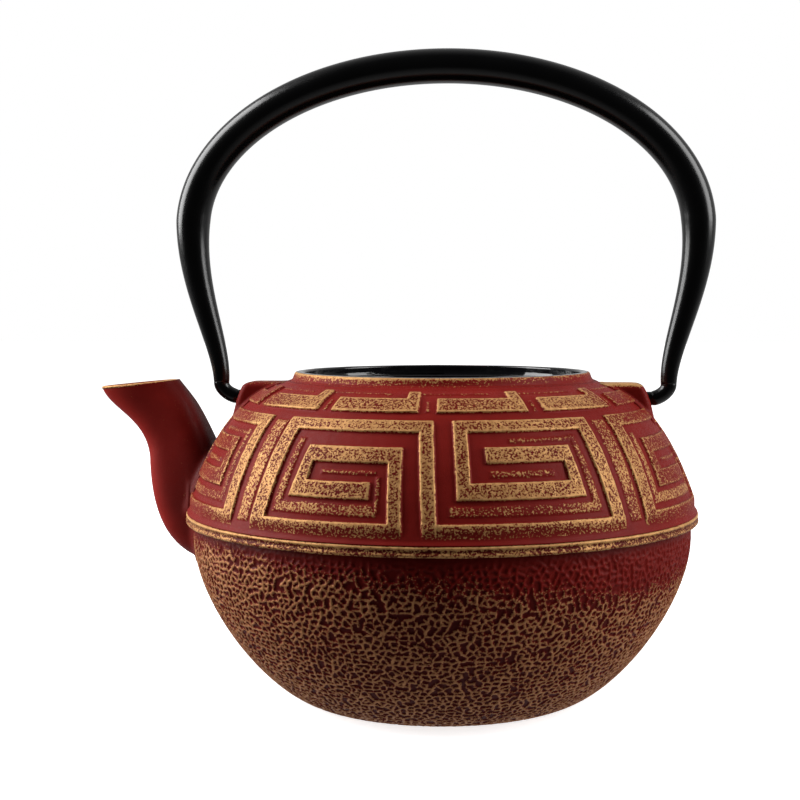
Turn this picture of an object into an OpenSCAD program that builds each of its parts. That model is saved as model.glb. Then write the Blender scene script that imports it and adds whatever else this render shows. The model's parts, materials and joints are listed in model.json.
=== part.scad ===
// Cast iron teapot with a side spout, two hinge ears and a swinging bail handle.
// Origin: centre of the base, on the surface the pot stands on. +Z is up, the spout
// points along -X, and the bail swings about a line along X through both ears.

/* [Pot body] */
// Radius of the flat base
base_r = 40; // [36:0.5:48]
// Height of the bowl, from the base to the underside of the flange
bowl_h = 54.9; // [45:0.1:66]
// Outer radius of the girdle flange
flange_r = 79.2; // [66:0.1:96]
// How far the flange stands out beyond the bowl under it
flange_overhang = 2.8; // [1:0.1:5]
// Thickness of the girdle flange
flange_t = 3.3; // [2:0.1:5]
// Height of the shoulder, from the flange to the foot of the collar
shoulder_h = 39.8; // [33:0.1:48]
// How far the flange stands out beyond the foot of the shoulder
flange_lip = 0.4; // [0.2:0.1:2]
// Wall thickness of the casting
wall = 3.2; // [2.6:0.1:4]

/* [Mouth] */
// Outer radius of the collar at its foot
collar_foot_r = 47.2; // [44:0.1:54]
// How much narrower the collar is at its rim
collar_taper = 1.7; // [0.5:0.1:3]
// Height of the collar
collar_h = 2.6; // [2:0.1:6]
// Width of the flat rim
rim_w = 2.2; // [1.5:0.1:4]
// Depth of the lid seat under the rim
seat_depth = 3.6; // [2:0.1:6]
// Width of the ledge that a lid rests on
seat_w = 4.4; // [2:0.1:8]
// Thickness of the ledge that a lid rests on
seat_t = 3.0; // [2:0.1:5]
// Size of the broken corner where the ledge meets the collar, on the enamel
seat_corner = 0.5; // [0.2:0.1:1]
// Thickness of the vitreous enamel inside the pot
enamel_t = 0.4; // [0.2:0.05:0.8]

/* [Spout] */
// Reach of the spout's tip beyond the flange
spout_reach = 28.9; // [24:0.1:35]
// Length of the lip, from the tip to the back corner
lip_length = 24.4; // [20:0.1:30]
// Half width of the spout at its lip
lip_half_w = 7.4; // [6:0.1:9]
// Half width of the spout at its root
root_half_w = 13.5; // [11:0.1:17]
// Wall thickness of the spout
spout_wall = 2.6; // [2:0.1:3.2]
// Radius of the hole through the pot's wall into the spout
port_r = 7.5; // [5:0.1:9]

/* [Ears] */
// Width of an ear, across the hinge line
ear_w = 12; // [9:0.5:16]
// Radius of an ear's upright edges
ear_edge_r = 2; // [1:0.1:3]
// How far an ear stands out from the shoulder at the hinge line
ear_reach = 6.4; // [5:0.1:9]
// Height of an ear's top above the hinge line
ear_rise = 4.8; // [4:0.1:7]
// How far an ear's top lies below the collar's foot
ear_drop = 0.8; // [0:0.1:3]

/* [Bail handle] */
// Radius of the pins at the ends of the hooks
pin_r = 2.1; // [1.7:0.05:2.6]
// Radial clearance of a pin in its ear
pin_clearance = 0.08; // [0.03:0.01:0.1]
// Radius of the rod in the hooks
hook_r = 2.3; // [2.2:0.05:2.9]
// Radius of a hook's bend, to the middle of the rod
bend_r = 3.0; // [2.9:0.1:4.5]
// Gap between an ear's outer face and the bend, on the hinge line
hook_gap = 1.4; // [1.2:0.1:3]
// How much wider the bail is at its widest than at its feet, on each side
bail_spread = 8.7; // [6:0.1:12]
// Height of the crown above the hinge line
bail_rise = 101.9; // [85:0.1:122]
// Height of the widest place above the hinge line
bail_waist = 53; // [44:0.5:64]
// Outer radius of the tube over the crown
tube_r = 5.3; // [4.4:0.1:6.4]
// Wall thickness of the bail's tube
tube_wall = 1.0; // [0.8:0.05:1.4]

/* [Hidden] */
$fn = 96;

// Heights up the pot
flange_z = bowl_h;
shoulder_z = bowl_h + flange_t;
collar_z = shoulder_z + shoulder_h;
rim_z = collar_z + collar_h;
seat_z = rim_z - seat_depth;
rim_r = collar_foot_r - collar_taper;
seat_r = rim_r - rim_w - seat_w;
iron_corner = seat_corner + enamel_t;
bowl_top_r = flange_r - flange_overhang;
shoulder_foot_r = flange_r - flange_lip;
edge_round = 0.5;

// A cubic curve from a to d with the handles b and c, as n + 1 points
function cubic(a, b, c, d, t) =
    pow(1 - t, 3) * a + 3 * pow(1 - t, 2) * t * b + 3 * (1 - t) * t * t * c + t * t * t * d;
function curve(a, b, c, d, n) = [for (i = [0:n]) cubic(a, b, c, d, i / n)];
function backwards(list) = [for (i = [len(list) - 1:-1:0]) list[i]];

// The same outline moved inwards, to the left of its direction, by a distance
function along(list, i) =
    let (v = list[min(i + 1, len(list) - 1)] - list[max(i - 1, 0)]) v / norm(v);
function moved_in(list, by) =
    [for (i = [0:len(list) - 1]) let (v = along(list, i)) list[i] + by * [-v[1], v[0]]];

// Outer outline of the bowl, from the base's edge up to the flange
bowl_steps = 22;
bowl_outer = curve([base_r, 0], [base_r + 13, 0.1],
    [bowl_top_r + 3.4, bowl_h * 0.6], [bowl_top_r, bowl_h], bowl_steps);
// Outer outline of the shoulder, from the flange up to the collar
shoulder_steps = 20;
shoulder_outer = curve([shoulder_foot_r, shoulder_z],
    [shoulder_foot_r - 4.6, shoulder_z + shoulder_h * 0.385],
    [collar_foot_r + 17.8, collar_z - 3.7], [collar_foot_r, collar_z], shoulder_steps);

// Inner outlines of the iron, one wall inside the outer ones. The base stays flat inside.
bowl_inner = [for (p = moved_in(bowl_outer, wall)) [p[0], max(p[1], wall)]];
bowl_cavity = concat([[0, wall]], [for (p = bowl_inner) if (p[1] > wall && p[1] < bowl_h) p],
    [[bowl_top_r - wall, bowl_h]]);
shoulder_inner = [for (p = moved_in(shoulder_outer, wall))
    if (p[1] > shoulder_z && p[1] < seat_z - seat_t && p[0] > seat_r + wall) p];
cavity_foot = [shoulder_foot_r - wall, shoulder_z];
cavity_top = [shoulder_inner[len(shoulder_inner) - 1][0], seat_z - seat_t];
collar_root = moved_in(shoulder_outer, wall)[shoulder_steps];

// Radius of the shoulder's outside at a height
shoulder_table = [for (p = shoulder_outer) [p[1], p[0]]];
function shoulder_r(z) = lookup(z, shoulder_table);

// The hinge line, and where it leaves the ears
hinge_z = collar_z - ear_drop - ear_rise;
ear_face_x = shoulder_r(hinge_z) + ear_reach;
socket_r = pin_r + pin_clearance;
socket_depth = 5.4;
pin_end_gap = 0.3;

// Places along the bail, in its own plane: x outwards, z up
foot_x = ear_face_x + hook_gap + bend_r;
foot_z = hinge_z + bend_r + 1.5;
waist_x = foot_x + bail_spread;
waist_z = hinge_z + bail_waist;
crown_z = hinge_z + bail_rise;

module pot_outline() {
    polygon(concat([[0, 0]], bowl_outer, flange_edge(),
        shoulder_outer, [[rim_r, rim_z], [0, rim_z]]));
}

// The flange's rim, with its two corners broken
function flange_edge() = [
    [flange_r - edge_round, flange_z],
    [flange_r, flange_z + edge_round],
    [flange_r, shoulder_z - edge_round],
    [flange_r - edge_round / 2, shoulder_z]];

// Everything inside the pot's outer surface: what sits on the pot is cut back to it
module pot_envelope() {
    rotate_extrude() pot_outline();
}

// The hole through the pot's wall into the spout
port_z = shoulder_z + port_r + 0.8;
module port(from_x, to_x) {
    translate([-to_x, 0, port_z]) rotate([0, 90, 0]) cylinder(r = port_r, h = to_x - from_x);
}

// The socket that a hook's pin turns in, on the +X side
module socket() {
    translate([ear_face_x - socket_depth, 0, hinge_z]) rotate([0, 90, 0])
        cylinder(r = socket_r, h = socket_depth + 10);
}

module bowl() {
    color("firebrick") rotate_extrude()
        polygon(concat([[0, 0]], bowl_outer, backwards(bowl_cavity)));
}

module girdle_flange() {
    color("darkgoldenrod") rotate_extrude()
        polygon(concat([[bowl_top_r - wall, flange_z]], flange_edge(),
            [[shoulder_foot_r, shoulder_z], cavity_foot]));
}

module shoulder() {
    color("firebrick") difference() {
        rotate_extrude()
            polygon(concat(shoulder_outer,
                [collar_root, [collar_root[0], seat_z - seat_t], cavity_top],
                backwards(shoulder_inner), [cavity_foot]));
        port(0, flange_r);
        for (side = [0, 180]) rotate([0, 0, side]) socket();
    }
}

module neck_collar() {
    color("firebrick") rotate_extrude()
        polygon([
            [collar_foot_r, collar_z],
            [rim_r, rim_z - edge_round],
            [rim_r - edge_round, rim_z],
            [rim_r - rim_w, rim_z],
            [rim_r - rim_w, seat_z + iron_corner],
            [rim_r - rim_w - iron_corner, seat_z],
            [seat_r, seat_z],
            [seat_r, seat_z - seat_t],
            [collar_root[0], seat_z - seat_t],
            collar_root]);
}

// Enamel over the whole inside, up over the lid's ledge to the rim
module enamel_lining() {
    skin = concat(bowl_cavity, [cavity_foot], shoulder_inner,
        [cavity_top, [seat_r, seat_z - seat_t], [seat_r, seat_z],
        [rim_r - rim_w - iron_corner, seat_z], [rim_r - rim_w, seat_z + iron_corner],
        [rim_r - rim_w, rim_z]]);
    inner_skin = moved_in(skin, enamel_t);
    inside = concat([[0, wall + enamel_t]],
        [for (i = [1:len(skin) - 7]) inner_skin[i]],
        [[seat_r - enamel_t, seat_z - seat_t - enamel_t], [seat_r - enamel_t, seat_z + enamel_t],
        [rim_r - rim_w - iron_corner, seat_z + enamel_t],
        [rim_r - rim_w - enamel_t, seat_z + iron_corner], [rim_r - rim_w - enamel_t, rim_z]]);
    color("black") difference() {
        rotate_extrude() polygon(concat(skin, backwards(inside)));
        port(0, flange_r);
    }
}

// The spout's two edges in its middle plane, from the lip down into the pot. They start
// from the flange's radius, so the spout follows the pot's size.
spout_top_z = collar_z - 0.2;
tip = [flange_r + spout_reach, spout_top_z - 2.4];
lip_back = [tip[0] - lip_length, spout_top_z];
throat = [flange_r + 13, shoulder_z + 14.6];
heel = [flange_r - 4.5, flange_z - 13.5];
front_lip_curve = curve(tip, tip + [-3.6, -6.7], throat + [0.8, 13], throat, 12);
front_root_curve = curve(throat, throat + [-0.3, -10], heel + [15.5, 4.1], heel, 12);
back_end = [flange_r - 11.5, shoulder_z + 6.5];
front_edge = concat(front_lip_curve, [for (i = [1:12]) front_root_curve[i]]);
back_edge = curve(lip_back, lip_back + [-4.2, -4.8], back_end + [5, 17.5], back_end, 24);
spout_rings = len(front_edge);
ring_sides = 28;

// One ring of the spout between its edges, drawn in by a wall. It is fuller at the back.
function spout_half_w(k) = let (t = k / (spout_rings - 1))
    lip_half_w + (root_half_w - lip_half_w) * t * t;
function spout_ring(k, front_in, back_in, side_in) =
    let (f = front_edge[k], b = back_edge[k], span = norm(f - b), dir = (f - b) / span,
        mid = b + dir * ((span - front_in + back_in) / 2),
        half = (span - front_in - back_in) / 2,
        w = spout_half_w(k) - side_in)
    [for (i = [0:ring_sides - 1]) let (a = 360 * i / ring_sides,
        u = cos(a), v = sign(sin(a)) * pow(abs(sin(a)), 0.8))
        [-(mid[0] + dir[0] * half * u), w * v * (1 - 0.25 * u), mid[1] + dir[1] * half * u]];

// A closed skin through a list of rings that all have the same number of points
module skin_through(rings) {
    count = len(rings);
    n = len(rings[0]);
    polyhedron(
        points = [for (ring = rings) for (p = ring) p],
        faces = concat(
            [[for (i = [0:n - 1]) i]],
            [[for (i = [n - 1:-1:0]) (count - 1) * n + i]],
            [for (k = [0:count - 2]) for (i = [0:n - 1]) let (j = (i + 1) % n)
                [k * n + i, (k + 1) * n + i, (k + 1) * n + j]],
            [for (k = [0:count - 2]) for (i = [0:n - 1]) let (j = (i + 1) % n)
                [k * n + i, (k + 1) * n + j, k * n + j]]),
        convexity = 6);
}

module spout() {
    last = spout_rings - 1;
    lift = [0, 0, 1];
    channel = [for (k = [0:last]) spout_ring(k, spout_wall * (0.45 + 0.55 * min(1, k / 6)),
        max(spout_wall, 5.5 - k * 0.4), spout_wall * (0.75 + 0.25 * min(1, k / 6)))];
    color("firebrick") difference() {
        skin_through([for (k = [0:last]) spout_ring(k, 0, 0, 0)]);
        skin_through(concat([[for (p = channel[0]) p + lift]], channel));
        pot_envelope();
        // A wide collar brings the ear out to the spout, which gives way to it
        rotate([0, 0, 180]) ear_blank();
    }
}

// An ear seen from above: round corners on its outer end
module ear_plan() {
    inner_x = -20;
    outer_x = 3;
    half_w = ear_w / 2;
    for (side = [-1, 1]) translate([outer_x - ear_edge_r, side * (half_w - ear_edge_r)])
        circle(r = ear_edge_r, $fn = 32);
    translate([inner_x, -half_w]) square([outer_x - ear_edge_r - inner_x, ear_w]);
    translate([inner_x, -half_w + ear_edge_r])
        square([outer_x - inner_x, ear_w - 2 * ear_edge_r]);
}

// The wedge of an ear, its outer face leaning in towards the top
module ear_blank() {
    outline = [[-18, ear_rise], [-2.4, ear_rise], [-1.5, ear_rise - 0.9], [0.6, -1.4],
        [1.9, -7.8], [2.9, -11], [4.4, -14], [4.4, -17], [-8, -17]];
    intersection() {
        translate([ear_face_x, ear_w / 2, hinge_z]) rotate([90, 0, 0])
            linear_extrude(ear_w) polygon(outline);
        translate([ear_face_x, 0, hinge_z - 20]) linear_extrude(30) ear_plan();
    }
}

// An ear stands on the shoulder and has the socket for the hook's pin
module ear() {
    color("firebrick") difference() {
        ear_blank();
        pot_envelope();
        socket();
    }
}

module spout_side_ear() {
    rotate([0, 0, 180]) ear();
}

module back_ear() {
    ear();
}

// The middle line of half of the bail, from the foot up to the crown
half_steps = 18;
leg_line = curve([foot_x, foot_z], [foot_x - 0.2, foot_z + 12],
    [waist_x + 0.6, waist_z - 20], [waist_x, waist_z], half_steps);
arch_line = curve([waist_x, waist_z], [waist_x - 0.7, waist_z + 27],
    [waist_x * 0.56, crown_z], [0, crown_z], half_steps);
half_line = concat(leg_line, [for (i = [1:half_steps]) arch_line[i]]);
bail_line = concat(half_line, [for (i = [len(half_line) - 2:-1:0]) [-half_line[i][0], half_line[i][1]]]);
// The tube swells from its foot to its full size a little above the widest place
foot_r = hook_r + 0.15;
function bail_r(z) = let (t = min(1, (z - foot_z) / (waist_z + 2 - foot_z))) foot_r + (tube_r - foot_r) * t;
tube_sides = 16;
// The tube's ends are square to the shanks of the hooks
function bail_way(k) = k == 0 ? [0, 1] : k == len(bail_line) - 1 ? [0, -1] : along(bail_line, k);
function bail_ring(k, thinner) =
    let (p = bail_line[k], v = bail_way(k), r = bail_r(p[1]) - thinner)
    [for (i = [0:tube_sides - 1]) let (a = 360 * i / tube_sides)
        [p[0] + r * cos(a) * v[1], r * sin(a), p[1] - r * cos(a) * v[0]]];

// A tube: its rings run out along the outer skin and back along the bore
module bail_tube() {
    last = len(bail_line) - 1;
    rings = concat([for (k = [0:last]) bail_ring(k, 0)],
        [for (k = [last:-1:0]) bail_ring(k, tube_wall)]);
    count = len(rings);
    n = tube_sides;
    color("black") polyhedron(
        points = [for (ring = rings) for (p = ring) p],
        faces = [for (k = [0:count - 1]) for (i = [0:n - 1])
            let (j = (i + 1) % n, m = (k + 1) % count)
            for (half = [0, 1]) half == 0
                ? [k * n + i, m * n + i, m * n + j]
                : [k * n + i, m * n + j, k * n + j]],
        convexity = 6);
}

// A hook: a short shank, a bend and the pin that turns in the ear
module hook() {
    pin_start = ear_face_x - socket_depth + pin_end_gap;
    color("black") {
        translate([foot_x, 0, hinge_z + bend_r]) cylinder(r1 = hook_r, r2 = foot_r, h = foot_z - hinge_z - bend_r);
        translate([foot_x - bend_r, 0, hinge_z + bend_r]) rotate([90, 0, 0]) rotate([0, 0, -90])
            rotate_extrude(angle = 90) translate([bend_r, 0]) circle(r = hook_r, $fn = 48);
        translate([pin_start, 0, hinge_z]) rotate([0, 90, 0])
            cylinder(r = pin_r, h = foot_x - bend_r - pin_start);
    }
}

module spout_side_hook() {
    rotate([0, 0, 180]) hook();
}

module back_hook() {
    hook();
}

bowl();
girdle_flange();
shoulder();
neck_collar();
enamel_lining();
spout();
spout_side_ear();
back_ear();
bail_tube();
spout_side_hook();
back_hook();
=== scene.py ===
# %% [markdown]
# # A cast iron teapot with a swinging bail
#
# The pot is sand-cast iron in one piece: a pebbled bowl, a girdle flange, and a shoulder with
# a raised Greek key. It is painted matt brick red, and gold is wiped over whatever stands
# proud, so the gold lies on ridges and edges and the red stays in the hollows. Inside it is
# lined with black vitreous enamel. The bail is a lacquered steel tube on two hooks.
#
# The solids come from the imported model, which is loaded first and never changed. Every piece
# below takes its place and size from them.

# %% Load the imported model
import json
import math

import bpy
import numpy as np
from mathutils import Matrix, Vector, kdtree, noise


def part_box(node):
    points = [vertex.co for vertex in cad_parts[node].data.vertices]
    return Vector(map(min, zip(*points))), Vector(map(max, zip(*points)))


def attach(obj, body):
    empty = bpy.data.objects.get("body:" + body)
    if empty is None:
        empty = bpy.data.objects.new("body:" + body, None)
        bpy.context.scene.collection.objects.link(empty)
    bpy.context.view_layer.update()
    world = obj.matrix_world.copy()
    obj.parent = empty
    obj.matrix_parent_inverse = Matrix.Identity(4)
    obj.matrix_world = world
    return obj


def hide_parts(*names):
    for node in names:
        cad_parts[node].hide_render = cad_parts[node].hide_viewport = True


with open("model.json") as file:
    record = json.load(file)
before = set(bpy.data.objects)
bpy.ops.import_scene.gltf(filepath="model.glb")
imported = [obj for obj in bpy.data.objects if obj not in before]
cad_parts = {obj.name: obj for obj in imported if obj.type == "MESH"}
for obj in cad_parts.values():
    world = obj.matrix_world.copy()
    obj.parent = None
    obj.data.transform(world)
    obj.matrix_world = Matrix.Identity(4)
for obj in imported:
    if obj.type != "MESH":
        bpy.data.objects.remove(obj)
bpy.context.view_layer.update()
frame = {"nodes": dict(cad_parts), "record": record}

MM = 0.001

# %% [markdown]
# ## Camera, floor and light
#
# The camera stands about half a metre from the pot's middle, with a longish lens. It is a
# little above the rim, which shows a sliver of the mouth, and it looks slightly down. Its
# heading is 5 degrees off square to the bail.

# %% The camera
SENSOR, LENS, SHIFT = 36.0, 68.67, -0.0529
DISTANCE, EYE_HEIGHT = 474 * MM, 122.2 * MM
HEADING, TILT = math.radians(5.0), math.radians(3.7)
camera_data = bpy.data.cameras.new("camera")
camera_data.sensor_width = SENSOR
camera_data.lens = LENS
camera_data.shift_x = SHIFT
camera = bpy.data.objects.new("camera", camera_data)
bpy.context.scene.collection.objects.link(camera)
camera.location = (DISTANCE * math.sin(HEADING), -DISTANCE * math.cos(HEADING), EYE_HEIGHT)
camera.rotation_euler = (math.pi / 2 - TILT, 0, HEADING)
bpy.context.scene.camera = camera
bpy.context.scene.view_settings.view_transform = "Standard"
print("camera at", [round(c, 4) for c in camera.location])

# %% [markdown]
# Colours are written as sRGB hex values, as a paint chart gives them. Blender computes in
# linear light, so one function turns them. One more function adds a shader node with its
# settings and links, which keeps the recipes of the finishes short.


# %% Colour and node helpers
def paint(hex_colour):
    """A colour chart's hex value as linear red, green, blue and alpha."""
    parts = [int(hex_colour[i:i + 2], 16) / 255 for i in (1, 3, 5)]
    return [c / 12.92 if c <= 0.04045 else ((c + 0.055) / 1.055) ** 2.4 for c in parts] + [1.0]


def add(tree, kind, inputs, out=None, **settings):
    """Adds a node and returns its output. An input takes a value, or another node's output."""
    made = tree.nodes.new(kind)
    for name, value in settings.items():
        setattr(made, name, value)
    connect(tree, made, inputs)
    live = [s for s in made.outputs if s.enabled]
    return live[0] if out is None else next(s for s in live if s.name == out)


def connect(tree, made, inputs):
    """Sets or links a node's inputs, by their names or their places."""
    live = [s for s in made.inputs if s.enabled]
    for name, value in inputs.items():
        socket = live[name] if isinstance(name, int) else next(s for s in live if s.name == name)
        if isinstance(value, bpy.types.NodeSocket):
            tree.links.new(value, socket)
        else:
            socket.default_value = value


def new_finish(name):
    """A material with an empty Principled surface, ready for a recipe."""
    material = bpy.data.materials.new(name)
    material.use_nodes = True
    return material, material.node_tree, material.node_tree.nodes["Principled BSDF"]


# %% [markdown]
# The studio is a white sweep with a tall softbox on each side, above the pot and turned down
# to it. They give the long streaks down the black bail, rake across the relief, and leave the front of the
# bowl dim. The sweep looks white in the camera but throws no light back up at the pot, as if
# it stood far below. The air behind the pot is bright and the room behind the camera is dark,
# so the black parts stay black in front and get a bright line along their edges.


# %% The studio
def softbox(name, size, place, aim, power):
    """A rectangular area light that faces a point."""
    lamp = bpy.data.lights.new(name, "AREA")
    lamp.shape = "RECTANGLE"
    lamp.size, lamp.size_y = size
    lamp.energy = power
    stand = bpy.data.objects.new(name, lamp)
    stand.location = place
    stand.rotation_euler = (Vector(aim) - Vector(place)).to_track_quat("-Z", "Y").to_euler()
    bpy.context.scene.collection.objects.link(stand)
    print(name, power, "W,", size, "m")


MIDDLE = (0, 0, 0.08)
softbox("softbox_left", (0.7, 1.1), (-0.97, -0.02, 0.60), MIDDLE, 20.0)
softbox("softbox_right", (0.6, 1.1), (0.97, -0.10, 0.62), MIDDLE, 12.0)

floor_mesh = bpy.data.meshes.new("studio_floor")
HALF_FLOOR, FLOOR_Z = 4.0, -0.2 * MM
floor_mesh.from_pydata([(x * HALF_FLOOR, y * HALF_FLOOR, FLOOR_Z)
                        for x, y in [(-1, -1), (1, -1), (1, 1), (-1, 1)]], [], [(0, 1, 2, 3)])
studio_floor = bpy.data.objects.new("studio_floor", floor_mesh)
bpy.context.scene.collection.objects.link(studio_floor)
floor_finish, floor_tree, floor_surface = new_finish("matt_white_sweep")
mottle = add(floor_tree, "ShaderNodeTexNoise", {"Scale": 6.0})
white = add(floor_tree, "ShaderNodeMix", {"Factor": mottle, "A": paint("#F4F4F4"),
            "B": paint("#F8F8F8")}, data_type="RGBA")
far_off = add(floor_tree, "ShaderNodeTexCoord", {}, out="Object")
far_off = add(floor_tree, "ShaderNodeVectorMath", {0: far_off}, operation="LENGTH", out="Value")
glow = add(floor_tree, "ShaderNodeMapRange", {"Value": far_off, "From Min": 0.08, "From Max": 0.45,
           "To Min": 0.86, "To Max": 1.08})
connect(floor_tree, floor_surface, {"Base Color": white, "Roughness": 0.9,
                                    "Emission Color": white, "Emission Strength": glow})
floor_mesh.materials.append(floor_finish)
studio_floor.visible_diffuse = False
studio_floor.visible_glossy = False

world = bpy.data.worlds.new("studio_air")
bpy.context.scene.world = world
world.use_nodes = True
air_tree = world.node_tree
way = add(air_tree, "ShaderNodeTexCoord", {}, out="Generated")
behind = add(air_tree, "ShaderNodeSeparateXYZ", {0: way}, out="Y")
beneath = add(air_tree, "ShaderNodeSeparateXYZ", {0: way}, out="Z")
beneath = add(air_tree, "ShaderNodeMapRange", {"Value": beneath, "From Min": -0.3, "From Max": -0.9,
              "To Max": 0.36})
air = add(air_tree, "ShaderNodeMapRange", {"Value": behind, "From Min": -0.4, "From Max": 0.8,
          "To Min": 0.02, "To Max": 0.50})
air = add(air_tree, "ShaderNodeMath", {0: air, 1: beneath}, operation="ADD")
camera_ray = add(air_tree, "ShaderNodeLightPath", {}, out="Is Camera Ray")
air = add(air_tree, "ShaderNodeMath", {0: air, 1: camera_ray}, operation="MAXIMUM")
connect(air_tree, air_tree.nodes["Background"], {"Color": (1, 1, 1, 1), "Strength": air})

# %% [markdown]
# ## Reading the solids
#
# The bowl, the flange, the shoulder and the collar are turned shapes. Their outside is a
# convex curve, so the convex hull of the solid's (radius, height) points is that curve. A
# spline through it gives as many points as a finely detailed skin needs.


# %% Outlines of the turned pieces
def outline(node):
    """The outside of a turned piece: (radius, height) points from the bottom up."""
    co = np.array([v.co for v in frame["nodes"][node].data.vertices])
    flat = {(round(float(math.hypot(x, y)), 6), round(float(z), 6)) for x, y, z in co}
    low, high = min(z for _, z in flat), max(z for _, z in flat)
    start = max(p for p in flat if p[1] == low)
    end = max(p for p in flat if p[1] == high)
    chain = []
    for p in sorted(flat, key=lambda p: (p[1], -p[0])):
        while len(chain) > 1 and turn(chain[-2], chain[-1], p) <= 0:
            chain.pop()
        chain.append(p)
    return np.array(chain[chain.index(start):chain.index(end) + 1])


def turn(a, b, c):
    """Above zero when the way from a by b to c turns left, as a convex outside does."""
    return (b[0] - a[0]) * (c[1] - a[1]) - (b[1] - a[1]) * (c[0] - a[0])


def spaced(points, distances):
    """Points along a smooth curve through points, at distances from its start."""
    points = np.asarray(points, float)
    steps = np.linalg.norm(np.diff(points, axis=0), axis=1)
    at = np.concatenate([[0], np.cumsum(steps)])
    slope = np.gradient(points, at, axis=0)
    k = np.clip(np.searchsorted(at, distances, side="right") - 1, 0, len(steps) - 1)
    h = steps[k][:, None]
    t = ((distances - at[k]) / steps[k])[:, None]
    return ((2 * t**3 - 3 * t**2 + 1) * points[k] + (t**3 - 2 * t**2 + t) * h * slope[k]
            + (3 * t**2 - 2 * t**3) * points[k + 1] + (t**3 - t**2) * h * slope[k + 1])


def length_of(points):
    return float(np.linalg.norm(np.diff(points, axis=0), axis=1).sum())


bowl_side = outline("bowl")
shoulder_side = outline("shoulder")
print("bowl outline", len(bowl_side), "points,", round(length_of(bowl_side) / MM, 1), "mm")
print("shoulder outline", len(shoulder_side), "points,", round(length_of(shoulder_side) / MM, 1), "mm")

# %% [markdown]
# ## Turning a finely detailed skin
#
# A relief this fine could be only a bump in the shader, but then the edge of the pot stays
# smooth and the exported mesh is bare. So the skins are real geometry: rings of points round
# the pot's axis, each point moved in or out by the relief. A ring of points is an array, so
# one calculation moves them all. Every skin is a closed body with its inner wall.
#
# The angle round the pot is counted from the front, towards the back ear.


# %% Meshes from rings of points
def mesh_from_rings(name, rings, fine_rows, loop=True, strips=3):
    """Joins rings x columns points into a closed mesh. The first fine_rows rings get most of
    the texture map, which is cut into strips one above the other."""
    count, columns, _ = rings.shape
    index = np.arange(count * columns).reshape(count, columns)
    lower = index if loop else index[:-1]
    upper = np.roll(index, -1, axis=0) if loop else index[1:]
    right_l, right_u = np.roll(lower, -1, axis=1), np.roll(upper, -1, axis=1)
    quads = np.stack([lower, right_l, right_u, upper], axis=-1).reshape(-1, 4)
    points = rings.reshape(-1, 3)
    a, b, c, d = (points[quads[:, k]] for k in range(4))
    inside_out = np.einsum("ij,ij->", a, np.cross(b, c) + np.cross(c, d)) < 0
    caps = [] if loop else [index[0][::-1], index[-1]]

    wide = columns / strips
    column = np.tile(np.arange(columns), len(lower))
    row = np.repeat(np.arange(len(lower)), columns)
    strip = (column // wide).astype(int)
    share = 0.94 * np.minimum(np.arange(count + 1) / fine_rows, 1)
    share += 0.06 * np.clip((np.arange(count + 1) - fine_rows) / max(1, count - fine_rows), 0, 1)
    u = np.stack([column, column + 1, column + 1, column], -1) / wide - strip[:, None]
    v = (strip[:, None] + 0.98 * share[np.stack([row, row, row + 1, row + 1], -1)]) / strips
    uv = np.stack([0.005 + 0.99 * u, v], axis=-1)
    if inside_out:
        quads, uv = quads[:, ::-1], uv[:, ::-1]
        caps = [cap[::-1] for cap in caps]
    sizes = [4] * len(quads) + [len(cap) for cap in caps]
    corners = np.concatenate([quads.reshape(-1)] + caps)
    flat_uv = np.concatenate([uv.reshape(-1, 2)] + [np.full((len(cap), 2), 0.999) for cap in caps])

    mesh = bpy.data.meshes.new(name)
    mesh.vertices.add(len(points))
    mesh.vertices.foreach_set("co", points.astype(np.float32).reshape(-1))
    mesh.loops.add(len(corners))
    mesh.loops.foreach_set("vertex_index", corners.astype(np.int32))
    mesh.polygons.add(len(sizes))
    starts = np.concatenate([[0], np.cumsum(sizes)[:-1]])
    mesh.polygons.foreach_set("loop_start", starts.astype(np.int32))
    mesh.polygons.foreach_set("use_smooth", np.ones(len(sizes), bool))
    mesh.uv_layers.new(name="OFBake").data.foreach_set("uv", flat_uv.astype(np.float32).reshape(-1))
    mesh.update(calc_edges=True)
    mesh.validate()
    return mesh


def place(mesh, body, nodes, slot, *finishes):
    """Makes a piece of the mesh: it rides on a body and stands for CAD nodes."""
    piece = bpy.data.objects.new(mesh.name, mesh)
    bpy.context.scene.collection.objects.link(piece)
    for finish in finishes:
        mesh.materials.append(finish)
    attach(piece, body)
    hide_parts(*nodes)
    print(mesh.name, len(mesh.vertices), "points,", len(mesh.polygons), "faces")


def store(mesh, name, values):
    """Keeps one number for each point of a mesh, which a finish can read."""
    attribute = mesh.attributes.new(name, "FLOAT", "POINT")
    attribute.data.foreach_set("value", np.asarray(values, np.float32).reshape(-1))


def turned(profile, columns, push=None):
    """Rings of points from (radius, height) rows. push moves the first rows along the
    profile's outside, in metres, and has one value for each point."""
    profile = np.asarray(profile, float)
    angle = 2 * np.pi * np.arange(columns) / columns
    radius = np.repeat(profile[:, :1], columns, axis=1)
    height = np.repeat(profile[:, 1:], columns, axis=1)
    if push is not None:
        rows = len(push)
        way = np.gradient(profile[:rows], axis=0)
        way /= np.linalg.norm(way, axis=1)[:, None]
        rising = 1 if profile[rows - 1, 1] > profile[0, 1] else -1
        radius[:rows] += rising * way[:, 1:] * push
        height[:rows] -= rising * way[:, :1] * push
    return np.stack([radius * np.sin(angle), -radius * np.cos(angle), height], axis=-1)


def rows_at(wanted, at, rows):
    """Rows of numbers read off between given rows, which lie at the places at."""
    return np.stack([np.interp(wanted, at, column) for column in rows.T], axis=-1)


def smooth_step(x, low, high):
    t = np.clip((x - low) / (high - low), 0, 1)
    return t * t * (3 - 2 * t)


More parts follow.
